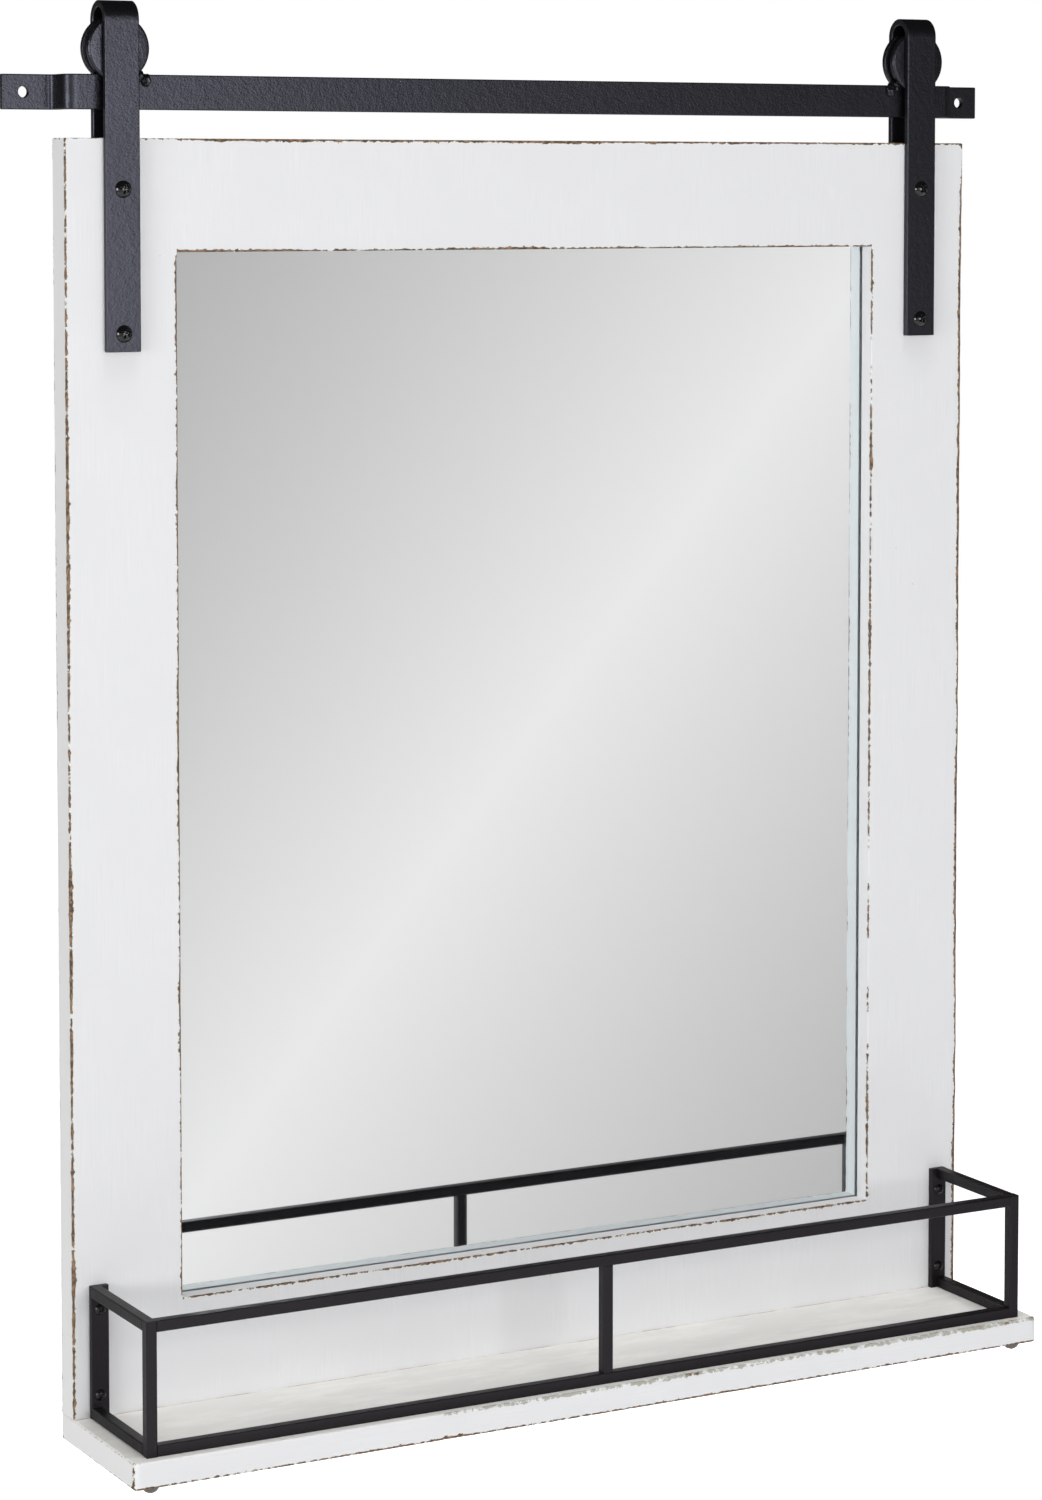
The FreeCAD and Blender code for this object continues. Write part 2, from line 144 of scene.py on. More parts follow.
class MirrorColours(bpy.types.PropertyGroup):
    """Colours of the finishes."""
    white_paint: colour_setting("White paint", "Paint of the boards", 0.765, 0.77, 0.785)
    # Painted shade: a warmer, less blue tone that stands in for the shade on the outer ends and sides
    side_shade_paint: colour_setting("Side paint", "Thinner paint on the outer ends and sides", 0.765, 0.768, 0.763)
    bare_wood: colour_setting("Bare wood", "Wood that shows where the paint is gone", 0.27, 0.17, 0.105)
    rubbed_paint: colour_setting("Rubbed paint", "Undercoat that shows where the paint is thin", 0.30, 0.30, 0.24)
    # Partly painted highlight: a cream band of primer at the broken paint that also stands in for light on the raised
    # lip
    lip_primer_and_highlight: colour_setting("Paint lip", "Broken edge of the paint beside bare wood", 0.80, 0.76, 0.65)
    tired_paint: colour_setting("Shelf top", "Scuffed paint on top of the shelf", 0.79, 0.782, 0.755)
    black_coat: colour_setting("Black coat", "Powder coat of the steel", 0.0034, 0.0031, 0.0034)
    screw_black: colour_setting("Black screws", "Finish of the black screws", 0.004, 0.004, 0.0042)
    zinc: colour_setting("Zinc", "Plated screws, pins and clips", 0.60, 0.60, 0.58)
    # Painted shade: a darker zinc for the screws under the shelf, standing in for the dark surroundings they reflect
    # there
    shaded_zinc: colour_setting("Dark zinc", "Tarnished screws under the shelf", 0.11, 0.107, 0.10)
    backing: colour_setting("Backing", "Hardboard behind the glass", 0.27, 0.175, 0.10)
    silver: colour_setting("Silver", "Silvering on the back of the glass", 0.955, 0.96, 0.96)
    rubber: colour_setting("Rubber", "Pads on the back", 0.035, 0.034, 0.033)


class StageSettings(bpy.types.PropertyGroup):
    """Camera and light."""
    lens: bpy.props.FloatProperty(
        name="Lens", description="Focal length of the camera in millimetres", default=95.52, min=10)
    floor_height: bpy.props.FloatProperty(
        name="Floor height", description="Height of the floor, below the wall holes", default=-1.42, unit="LENGTH")
    ambient: bpy.props.FloatProperty(
        name="Ambient light", description="Strength of the light that comes from all round", default=0.30, min=0)
    front_power: power_setting("Front light", "in front", 16.1)
    side_power: power_setting("Side light", "on the left", 46.0)
    top_power: power_setting("Top light", "above", 40.0)
    rear_power: power_setting("Rear light", "behind on the right", 45.0)


# ---------------------------------------------------------------- meshes

def placed(name, data):
    """Return a new object, linked into the scene."""
    thing = bpy.data.objects.new(name, data)
    bpy.context.scene.collection.objects.link(thing)
    return thing


def set_values(mesh, name, values):
    """Store a number at each point of a mesh."""
    mesh.attributes.new(name, "FLOAT", "POINT").data.foreach_set("value", values.astype(np.float32))


def between(low, high):
    """Return the middle of a box."""
    return [(a + b) / 2 for a, b in zip(low, high)]


def quads_between(rings, around):
    """Return the quads between neighbouring rings of points, each ring closed on itself."""
    spot = np.arange(rings * around).reshape(rings, around)
    after = np.roll(spot, -1, axis=1)
    return np.stack((spot[:-1], after[:-1], after[1:], spot[1:]), axis=2).reshape(-1, 4)


class Shell:
    """Closed surfaces gathered for one piece: points, faces and values at the points."""

    def __init__(self):
        self.points, self.faces, self.values = [], [], {}
        self.count = 0

    def add(self, points, quads, ends=(), **values):
        """Add a surface of quads and end faces, with values at its points, and turn it to face outwards.

        With a, b, c and d as a quad's corners, seen from the middle, the sum of a . (b x c + c x d) over all
        quads goes with the volume inside. It is negative if the quads face inwards.
        """
        a, b, c, d = (points[quads[:, k]] - points.mean(axis=0) for k in range(4))
        if np.sum(a * (np.cross(b, c) + np.cross(c, d))) < 0:
            quads, ends = quads[:, ::-1], [end[::-1] for end in ends]
        self.faces += (quads + self.count).tolist() + [(end + self.count).tolist() for end in ends]
        self.points.append(points)
        for key, value in values.items():
            self.values.setdefault(key, []).append(np.ravel(value))
        self.count += len(points)

    def add_rings(self, rings, **values):
        """Add a skin over rings of points, an array of ring by spot by xyz, with both ends closed."""
        total, around = rings.shape[:2]
        ends = [np.arange(around)[::-1], np.arange(around) + (total - 1) * around]
        self.add(rings.reshape(-1, 3), quads_between(total, around), ends, **values)
        return self

    def piece(self, name, material, slot, *nodes, sharp=40.0):
        """Make the object, dress it, and put it in the place of the named solids."""
        mesh = bpy.data.meshes.new(name)
        mesh.from_pydata(np.concatenate(self.points).tolist(), [], self.faces)
        for key, value in self.values.items():
            set_values(mesh, key, np.concatenate(value))
        mesh.shade_smooth()
        mesh.set_sharp_from_angle(angle=math.radians(sharp))
        mesh.materials.append(material)
        mesh.validate()
        mesh.update()
        thing = placed(name, mesh)
        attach(thing, BODY)
        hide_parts(*nodes)


def wander(length, spacing, seed, places):
    """Return a wavering line: seeded values every spacing along a length, joined and read at the places."""
    count = int(length / spacing) + 3
    marks = np.random.default_rng(seed).random(count)
    return np.interp(places - places.min(), np.arange(count) * spacing, marks)


def worn_line(places, seed, base, swing):
    """Return how worn an edge is along its length, 0 to 1: long swells, short breaks and a few chips."""
    length = np.ptp(places) + 1e-6
    swell = wander(length, 0.055, seed, places) - 0.5
    breaks = wander(length, 0.009, seed + 1, places) - 0.5
    nibs = wander(length, 0.0034, seed + 2, places)
    chips = np.clip((nibs - 0.90) * 8.0, 0, 1) * 0.55
    return np.clip(base + swing * (0.9 * swell + 0.8 * breaks) + chips * min(1.0, base * 4), 0, 1)


def by_corner(count, *values):
    """Return an array of ring by corner from a value for each corner: one number, or one for each ring."""
    return np.stack([np.broadcast_to(value, count) for value in values], axis=1)


def chipped(radii, wear, sizes):
    """Return edge radii, made larger where an edge is worn enough to be chipped."""
    return radii + sizes.chip_radius * np.clip(wear - CHIPPED_FROM, 0, 1)


def sides_of(corners):
    """Return unit directions from each corner of a closed outline to its two neighbours, and the nearer's distance."""
    before, after = (np.roll(corners, step, axis=-2) - corners for step in (1, -1))
    far_before, far_after = (np.linalg.norm(side, axis=-1, keepdims=True) for side in (before, after))
    return before / far_before, after / far_after, np.minimum(far_before, far_after)


def rounded_section(corners, radii, reach):
    """Return the points of a section with rounded corners and, for each, its distance from the nearest corner.

    Each corner P has its two sides' directions a and b; its points are P + r((1 - sin t)a + (1 - cos t)b)
    for t from 0 to a right angle, with two more on each side to keep the flats flat. Corners is an array
    of ring by corner by two, radii and reach of ring by corner and of corner.
    """
    before, after, _ = sides_of(corners)
    t = np.linspace(0, math.pi / 2, ARC_POINTS)
    r = radii[:, :, None]
    reach = np.broadcast_to(np.asarray(reach)[None, :, None], r.shape)
    rest = np.zeros_like(r)
    near = np.minimum(r * 1.25 + 0.00015, reach * 0.7)
    along_a = np.concatenate((reach, near, r * (1 - np.sin(t)), rest, rest), axis=2)
    along_b = np.concatenate((rest, rest, r * (1 - np.cos(t)), near, reach), axis=2)
    points = (corners[:, :, None] + along_a[..., None] * before[:, :, None]
              + along_b[..., None] * after[:, :, None])
    beside = near - r * 0.4
    edge = np.concatenate((reach, beside, np.repeat(rest, ARC_POINTS, axis=2), beside, reach), axis=2)
    rings = corners.shape[0]
    return points.reshape(rings, -1, 2), np.maximum(edge, 0).reshape(rings, -1)


def spaced(low, high, step, *kept):
    """Return places from low to high, about a step apart, with the kept places among them."""
    marks = [low, *sorted(kept), high]
    parts = [np.linspace(a, b, max(2, int(abs(b - a) / step) + 1))[:-1] for a, b in zip(marks, marks[1:])]
    return np.concatenate(parts + [[high]])


def carried_across(x, section):
    """Return rings of points: sections of depth by height, set at their places across the part."""
    return np.stack((np.broadcast_to(x[:, None], section.shape[:2]), section[..., 0], section[..., 1]), axis=2)


def with_end(points, edge, worn, middle, reach):
    """Return the rings with one more on the last end, drawn in towards its middle, so that only its rim is worn."""
    last = points[-1]
    away = np.asarray(middle) - last
    far = np.linalg.norm(away, axis=1, keepdims=True)
    inset = last + away / far * np.minimum(reach, far * 0.5)
    return (np.concatenate((points, inset[None])), np.concatenate((edge, np.full((1, len(last)), reach))),
            np.concatenate((worn, worn[-1:])))


def end_round(distance, radius):
    """Return how far a surface lies in from its flat, at a distance from the end of a rounded board."""
    short = np.clip(radius - distance, 0, radius)
    return radius - np.sqrt(radius ** 2 - short ** 2)


# ---------------------------------------------------------------- shader helpers

class Wire:
    """A value that runs through a node tree; each sum, noise or mix made from it adds a node."""

    def __init__(self, socket):
        self.socket, self.tree = socket, socket.id_data

    def node(self, kind, inputs=(), out=0, **settings):
        """Return an output of a new node in the same tree."""
        return Wire(add(self.tree, kind, inputs, **settings).outputs[out])

    def sum_with(self, operation, *others, clamp=False):
        """Return the result of one sum on numbers."""
        return self.node("ShaderNodeMath", (self, *others), operation=operation, use_clamp=clamp)

    __add__, __sub__ = partialmethod(sum_with, "ADD"), partialmethod(sum_with, "SUBTRACT")
    __mul__, __pow__ = partialmethod(sum_with, "MULTIPLY"), partialmethod(sum_with, "POWER")
    __abs__ = partialmethod(sum_with, "ABSOLUTE")
    at_least, at_most = partialmethod(sum_with, "MAXIMUM"), partialmethod(sum_with, "MINIMUM")

    def __rsub__(self, other):
        return self.node("ShaderNodeMath", (other, self), operation="SUBTRACT")

    def remap(self, low, high, to_low=0.0, to_high=1.0):
        """Return a value moved smoothly from one range to another, held at the ends."""
        return self.node("ShaderNodeMapRange", (self, low, high, to_low, to_high), interpolation_type="SMOOTHSTEP")

    def noise(self, scale, detail=3.0, roughness=0.55, distortion=0.0):
        """Return a cloudy value from 0 to 1 at this place; scale is in clouds per metre."""
        return self.node("ShaderNodeTexNoise", {"Vector": self, "Scale": scale, "Detail": detail,
                                                "Roughness": roughness, "Distortion": distortion})

    def stretched(self, *scale):
        """Return a place scaled along each axis, which draws a pattern out in one direction."""
        return self.node("ShaderNodeMapping", {"Vector": self, "Scale": scale})

    def parts(self):
        """Return the three numbers of a place."""
        return [Wire(socket) for socket in add(self.tree, "ShaderNodeSeparateXYZ", (self,)).outputs]

    def attribute(self, name):
        """Return the value that the mesh holds at its points under a name."""
        return self.node("ShaderNodeAttribute", out="Fac", attribute_name=name)

    def mix(self, first, second):
        """Return the second colour laid over the first, by this share."""
        return self.node("ShaderNodeMix", {0: self, 6: first, 7: second}, 2, data_type="RGBA")

    def group(self, name, **values):
        """Return what a node group puts out at this place, by name."""
        node = add(self.tree, "ShaderNodeGroup", {"Vector": self, **values}, node_tree=node_group(name))
        return {socket.name: Wire(socket) for socket in node.outputs}


def plug(socket, value):
    """Link a socket to a wire, or set its own value."""
    if isinstance(value, Wire):
        value.tree.links.new(value.socket, socket)
    else:
        socket.default_value = value


def add(tree, kind, inputs=(), **settings):
    """Add a node, with its settings and its inputs by place or by name."""
    node = tree.nodes.new(kind)
    count = len(tree.nodes)
    node.location = (190 * (count % 9), -240 * (count // 9))
    for key, value in settings.items():
        setattr(node, key, value)
    for key, value in inputs.items() if isinstance(inputs, dict) else enumerate(inputs):
        plug(node.inputs[key], value)
    return node


def feed(shader, **values):
    """Plug wires or plain values into a shader's sockets, named with _ for a blank."""
    for label, value in values.items():
        plug(shader.inputs[label.replace("_", " ")], value)


def rgba(colour, shade=1.0):
    """Return a colour with its alpha, made lighter or darker by a shade."""
    return (*(min(1.0, channel * shade) for channel in colour), 1.0)


def edge_wear(place, edge, wear, rub, reach, rag):
    """Bare the wood at a worn edge.

    The depth is the reach, times how worn the edge is, less the distance from the edge and two noises that make
    it ragged. Bare is where it is above nothing, Lip is a little wider, and Rubbed is a wide broken band. The
    last output rises from the rim of the bare wood inwards. It is used for painted shade: the bare wood beside
    the paint is painted dark as the paint lip's shadow.
    """
    fine, wide = place.noise(1700.0, 3.0) - 0.5, place.noise(330.0, 2.0) - 0.5
    ragged = (fine + wide * 2.0) * rag
    depth = wear * reach - (edge + ragged)
    worn = wear.remap(0.02, 0.12)
    thin = rub * (reach * 1.05) - (edge + ragged * 1.6)
    patches = place.noise(90.0, 4.0, 0.65).remap(0.34, 0.46)
    return {"Bare": depth.remap(0.00004, 0.00016) * worn,
            "Lip": depth.remap(-0.00045, -0.00008) * worn,
            "Rubbed": thin.remap(0.0, 0.0005) * (patches * rub.remap(0.02, 0.2)),
            "Depth": depth.remap(0.0001, 0.0009)}


def brush_strokes(place, stretch, scale):
    """Draw brush strokes: noise drawn out along one axis, kept in patches, light and dark."""
    drawn = place.node("ShaderNodeVectorMath", (place, stretch), operation="MULTIPLY")
    fine, broad = drawn.noise(scale, 3.0, 0.55), drawn.noise(scale * 0.3, 3.0, 0.5)
    clouds = place.noise(26.0, 3.0, 0.6).remap(0.35, 0.62)
    light, dark = fine.remap(0.55, 0.68) * clouds, fine.remap(0.45, 0.32) * clouds
    tone = (light - dark) * 0.42 + clouds * 0.16
    return {"Height": fine * 0.6 + broad * 0.4, "Tone": tone.sum_with("ADD", 0.42, clamp=True)}


def specks(place, scale, share):
    """Scatter small specks: the peaks of a noise, kept where a wider noise is high."""
    peaks, wide = place.noise(scale, 2.0, 0.5), place.noise(scale * 0.11, 2.0, 0.5)
    low = share - (wide - 0.5) * 0.3
    return {"Mask": (peaks - low).remap(0.0, 0.03)}


def coat_peel(place, cells):
    """Spray a coat: smooth cells for the peel, and a slow mottle for the gloss."""
    height = place.noise(cells, 1.5, 0.45) * 0.6 + place.noise(cells * 0.36, 2.0, 0.5) * 0.7
    return {"Height": height, "Mottle": place.noise(45.0, 4.0, 0.6)}


# Node groups: what draws each one, and its inputs after Vector with their plain values
GROUPS = {
    "edge_wear": (edge_wear, {"Edge": 0.004, "Wear": 0.0, "Rub": 0.0, "Reach": 0.0013, "Rag": 0.0009}),
    "brush_strokes": (brush_strokes, {"Stretch": (1.0, 1.0, 0.03), "Scale": 700.0}),
    "specks": (specks, {"Scale": 260.0, "Share": 0.72}),
    "coat_peel": (coat_peel, {"Cells": 900.0}),
}


def node_group(name):
    """Return a shader node group, drawn at its first use: wires for its inputs go in, named wires come out."""
    if name in bpy.data.node_groups:
        return bpy.data.node_groups[name]
    group = bpy.data.node_groups.new(name, "ShaderNodeTree")
    draw, inputs = GROUPS[name]
    for label, default in {"Vector": (0.0, 0.0, 0.0), **inputs}.items():
        kind = "NodeSocketFloat" if isinstance(default, float) else "NodeSocketVector"
        group.interface.new_socket(label, in_out="INPUT", socket_type=kind).default_value = default
    given = group.nodes.new("NodeGroupInput")
    drawn = draw(*(Wire(given.outputs[label]) for label in ("Vector", *inputs)))
    for label in drawn:
        group.interface.new_socket(label, in_out="OUTPUT", socket_type="NodeSocketFloat")
    out = group.nodes.new("NodeGroupOutput")
    for label, value in drawn.items():
        plug(out.inputs[label], value)
    return group


def new_material(name, **sockets):
    """Return a material, the place on its piece in metres, and its Principled shader with plain values set."""
    material = bpy.data.materials.new(name)
    material.use_nodes = True
    tree = material.node_tree
    shader = tree.nodes["Principled BSDF"]
    shader.location = (1900, 0)
    tree.nodes["Material Output"].location = (2200, 0)
    feed(shader, **sockets)
    return material, Wire(add(tree, "ShaderNodeTexCoord").outputs["Object"]), shader


def bumped(shader, height, strength, distance, rounding=0.0):
    """Give a shader's normal a bump from a height, and soften the piece's sharp edges by a rounding."""
    inputs = {"Strength": strength, "Distance": distance, "Height": height}
    if rounding:
        inputs["Normal"] = height.node("ShaderNodeBevel", {"Radius": rounding}, samples=6)
    feed(shader, Normal=height.node("ShaderNodeBump", inputs))


def seen(tree):
    """Return 1 for rays from the eye, from gloss and through glass, and 0 for all others."""
    path = add(tree, "ShaderNodeLightPath").outputs
    eye, gloss, glass = (Wire(path[label]) for label in ("Is Camera Ray", "Is Glossy Ray", "Is Transmission Ray"))
    return eye.at_least(gloss.at_least(glass))


def dress(material, *names):
    """Give solids of the frame a material in all their slots."""
    for name in names:
        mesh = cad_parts[name].data
        if not mesh.materials:
            mesh.materials.append(material)
        for slot in range(len(mesh.materials)):
            mesh.materials[slot] = material


# ---------------------------------------------------------------- finishes

def painted_wood(name, colours, sizes, stretch, warm_above=None, mirror_lit_from=None):
    """Return worn white paint on wood: brush strokes, bare edges, a cream lip, rubbed bands, painted light and shade.

    Stretch draws the strokes out along the board. On the sides of the opening, behind the front face, the paint
    is painted lighter, as painted light that the mirror throws onto them. The outer ends and sides take a warmer,
    less blue tone, as painted shade. Bare wood is dark, and painted darker beside the broken paint as the paint
    lip's shadow; the cream lip is partly primer and partly a painted highlight on the raised paint. From the
    height warm_above it is scuffed, with a broken dark seam along the frame.
    """
    material, place, shader = new_material(name, Specular_IOR_Level=0.3)
    wear = place.group("edge_wear", Edge=place.attribute("edge"), Wear=place.attribute("wear"),
                       Rub=place.attribute("rub"), Reach=sizes.wear_reach, Rag=0.0021)
    brush = place.group("brush_strokes", Stretch=stretch, Scale=950.0)
    spots = place.group("specks", Scale=230.0, Share=0.80)
    x, y, z = place.parts()
    paint = brush["Tone"].mix(rgba(colours.white_paint, 0.966), rgba(colours.white_paint, 1.028))
    # Painted shade: the outer ends and sides take the side shade tone in place of the front's paint
    outer = abs(x).remap(STILE_HIGH.x - 0.0006, STILE_HIGH.x - 0.0001)
    paint = outer.mix(paint, rgba(colours.side_shade_paint))
    # Painted light: the sides of the opening, behind the front face, are painted lighter for the light the mirror
    # throws onto them
    if mirror_lit_from is not None:
        behind_face = y.remap(STILE_LOW.y + 0.0003, STILE_LOW.y + 0.0008)
        inner = abs(x).remap(mirror_lit_from + 0.0007, mirror_lit_from + 0.0001) * behind_face
        paint = inner.mix(paint, rgba(colours.white_paint, 1.15))
    if warm_above is not None:
        top = z.remap(warm_above - 0.0006, warm_above)
        scuffs = place.stretched(0.30, 1.0, 1.0).noise(60.0, 6.0, 0.72).remap(0.42, 0.66)
        paint = top.mix(paint, scuffs.mix(rgba(colours.tired_paint, 0.95), rgba(colours.tired_paint, 1.05)))
        beside = abs(y - (STILE_LOW.y - 0.0004))
        broken = place.noise(55.0, 4.0, 0.7).remap(0.42, 0.56, 0.1, 0.6)
        seam = beside.remap(0.0011, 0.0004) * (broken * top)
        paint = seam.mix(paint, rgba(colours.bare_wood, 1.5))
    paint = (wear["Rubbed"] * 0.8).mix(paint, rgba(colours.rubbed_paint))
    # The cream lip at the broken paint is partly primer and partly a painted highlight on the raised paint
    paint = (wear["Lip"] * 0.55).mix(paint, rgba(colours.lip_primer_and_highlight))
    grain = place.noise(420.0, 4.0, 0.65).remap(0.44, 0.58)
    # Painted shade: bare wood is painted dark at the rim beside the broken paint, as the paint lip's shadow, and
    # lighter with the grain deeper in
    wood = (grain * wear["Depth"]).mix(rgba(colours.bare_wood, 0.35), rgba(colours.bare_wood, 1.15))
    bare = wear["Bare"].at_least(spots["Mask"] * 0.22)
    feed(shader, Base_Color=bare.mix(paint, wood), Roughness=brush["Tone"] * -0.10 + 0.54 + bare * 0.3)
    bumped(shader, brush["Height"] * 0.45 - bare, 0.45, 0.0002)
    return material


def coated_steel(name, colour, roughness, cells=800.0, gloss_level=0.5, peel_depth=0.0002, tint=(0.76, 0.80, 1.0),
                 rounding=0.0):
    """Return black powder coat: orange peel in the bump, a slow mottle in the gloss, and dull dust nibs."""
    material, place, shader = new_material(name, Specular_IOR_Level=gloss_level, Specular_Tint=(*tint, 1.0))
    peel = place.group("coat_peel", Cells=cells)
    nibs = place.group("specks", Scale=420.0, Share=0.78)["Mask"]
    tone = peel["Mottle"].mix(rgba(colour, 0.82), rgba(colour, 1.2))
    feed(shader, Base_Color=(nibs * 0.5).mix(tone, (0.06, 0.058, 0.056, 1.0)),
         Roughness=(peel["Mottle"] - 0.5) * 0.10 + roughness + nibs * 0.2)
    bumped(shader, peel["Height"], 0.9, peel_depth, rounding)
    return material


def plated_steel(name, colour):
    """Return zinc plate: a metal with a faint crystal mottle and dull spots."""
    material, place, shader = new_material(name, Metallic=1.0)
    peel = place.group("coat_peel", Cells=1600.0)
    dull = place.group("specks", Scale=500.0, Share=0.66)["Mask"]
    tone = peel["Mottle"].mix(rgba(colour, 0.85), rgba(colour, 1.1))
    feed(shader, Base_Color=(dull * 0.4).mix(tone, rgba(colour, 0.45)),
         Roughness=peel["Mottle"].remap(0.2, 0.8, 0.26, 0.44))
    bumped(shader, peel["Height"], 0.25, 0.00006)
    return material


def hardboard(name, colour):
    """Return brown hardboard: pressed fibres as short crossed streaks and a rough pale dusting."""
    material, place, shader = new_material(name, Specular_IOR_Level=0.2)
    across = place.stretched(1.0, 1.0, 0.2).noise(700.0, 5.0, 0.65, 0.8)
    along = place.stretched(0.2, 1.0, 1.0).noise(700.0, 5.0, 0.65, 0.8)
    fibre = across * 0.5 + along * 0.5
    dusting = place.noise(16.0, 4.0, 0.6).remap(0.4, 0.75, 0.0, 0.25)
    tone = fibre.remap(0.36, 0.64).mix(rgba(colour, 0.62), rgba(colour, 1.35))
    feed(shader, Base_Color=dusting.mix(tone, (0.45, 0.36, 0.26, 1.0)), Roughness=fibre.remap(0.3, 0.7, 0.62, 0.85))
    bumped(shader, fibre, 0.5, 0.0002)
    return material


def pale_wood(name, colour):
    """Return plain turned wood: long streaks drawn out along the dowel."""
    material, place, shader = new_material(name)
    streak = place.stretched(0.06, 1.0, 1.0).noise(900.0, 4.0, 0.6, 0.3)
    feed(shader, Base_Color=streak.mix(rgba(colour, 1.3), rgba(colour, 2.4)),
         Roughness=streak.remap(0.3, 0.7, 0.55, 0.75))
    bumped(shader, streak, 0.4, 0.0001)
    return material


def soft_rubber(name, colour):
    """Return dull rubber: a pale bloom in clouds and a fine cast skin."""
    material, place, shader = new_material(name, Specular_IOR_Level=0.3)
    bloom = place.noise(180.0, 4.0, 0.6)
    feed(shader, Base_Color=bloom.remap(0.45, 0.8).mix(rgba(colour), rgba(colour, 2.2)),
         Roughness=bloom.remap(0.3, 0.8, 0.62, 0.85))
    bumped(shader, place.noise(2200.0, 2.0), 0.3, 0.00008)
    return material


def clear_glass(name):
    """Return float glass, faintly green; its gloss is broken only by a trace of dust."""
    material, place, shader = new_material(name, Base_Color=(0.942, 0.978, 0.984, 1.0), Transmission_Weight=1.0,
                                           IOR=1.52)
    dust = place.group("specks", Scale=650.0, Share=0.80)["Mask"]
    feed(shader, Roughness=dust * 0.02)
    return material


def silvering(name, colour):
    """Return silvering: a clean metal, a touch cloudier in wide patches."""
    material, place, shader = new_material(name, Metallic=1.0)
    cloud = place.noise(9.0, 3.0, 0.5)
    feed(shader, Base_Color=cloud.mix(rgba(colour, 0.99), rgba(colour, 1.0)),
         Roughness=cloud.remap(0.3, 0.8, 0.0, 0.006))
    return material


# ---------------------------------------------------------------- boards

def top_wear(x):
    """Return how worn the frame's top edge is at a place across it; it starts to the right of the left strap."""
    across = np.linspace(-STILE_HIGH.x, STILE_HIGH.x, 700)
    worn = worn_line(across, 45, 0.54, 0.65) * np.clip((across + 0.24) / 0.05, 0.12, 1)
    return np.interp(x, across, worn)


def stile_shell(side, sizes):
    """Return one upright board: a section with a rebate carried up the board, its edges worn along the way.

    The section's corners are the outer front edge, the opening's edge, the three corners of the rebate and
    the outer back edge. Above and below the rebate its inmost corner moves out to make a plain section, and
    the opening's edge is sharp there, because the rails are glued on flush.
    """
    top, bottom = STILE_HIGH.z, STILE_LOW.z
    open_top, open_bottom = TOP_LOW.z, BOTTOM_HIGH.z
    cut_top, cut_bottom = GLASS_HIGH.z + REBATE_PLAY, GLASS_LOW.z - REBATE_PLAY
    outer, inner, cut = STILE_HIGH.x, STILE_LOW.x, GLASS_HIGH.x + REBATE_PLAY
    front, back, seat = STILE_LOW.y, STILE_HIGH.y, GLASS_LOW.y
    ends = [top - d for d in (0.00012, 0.00035, 0.0007, 0.0012, EDGE_BAND)]
    # Rings crowd at the rounded top; each end of the rebate has two, one plain and one cut, for a square wall
    z = spaced(bottom, top, sizes.ring_step, open_bottom, open_top, *(cut_bottom, cut_top) * 2, *ends)
    count = len(z)
    rebated = np.zeros(count, bool)
    rebated[np.flatnonzero(z == cut_bottom)[1]:np.flatnonzero(z == cut_top)[0] + 1] = True
    radius = sizes.edge_radius
    lower = end_round(top - z, radius)
    corners = np.stack((
        by_corner(count, outer - lower, inner, inner, np.where(rebated, cut, inner), cut, outer - lower),
        by_corner(count, front + lower, front + lower, seat, np.where(rebated, seat, back), back, back)), axis=2)
    open_edge = (z < open_top) & (z > open_bottom)
    if side < 0:
        seed, inner_wear = 11, 0.62
        growth = np.interp(top - z, (0.09, 0.14, 0.30, 0.50), (0.55, 1.0, 1.0, 1.35))
        outer_wear = worn_line(z, seed, 0.52, 0.6) * growth
    else:
        seed, inner_wear = 23, 0.25
        outer_wear = worn_line(z, seed, 0.92, 0.7) * np.interp(top - z, (0.015, 0.03), (0.1, 1.5))
    wear = by_corner(count, outer_wear, np.where(open_edge, worn_line(z, seed + 5, inner_wear, 0.6), 0), 0, 0, 0,
                     worn_line(z, seed + 9, 0.22, 0.7))
    radii = by_corner(count, radius, np.where(open_edge, radius * 0.8, SHARP_RADIUS / 3), *[SHARP_RADIUS] * 3, radius)
    section, edge = rounded_section(corners, chipped(radii, wear, sizes), BOARD_BANDS)
    worn = np.repeat(wear, CORNER_POINTS, axis=1)
    edge[~open_edge, CORNER_POINTS:2 * CORNER_POINTS] = EDGE_BAND
    flat = edge > FLAT_FROM
    last = top - z < WORN_TOP
    edge[last] = np.minimum(edge[last], (top - z[last])[:, None])
    nibbled = top_wear(side * section[..., 0])
    worn[last] = np.where(flat[last], nibbled[last], np.maximum(worn[last], nibbled[last]))
    points = np.stack((section[..., 0] * side, section[..., 1], np.broadcast_to(z[:, None], section.shape[:2])), axis=2)
    points, edge, worn = with_end(points, edge, worn, (side * inner, (front + back) / 2, top), EDGE_BAND)
    return Shell().add_rings(points, edge=edge, wear=worn, rub=worn * 0.5)


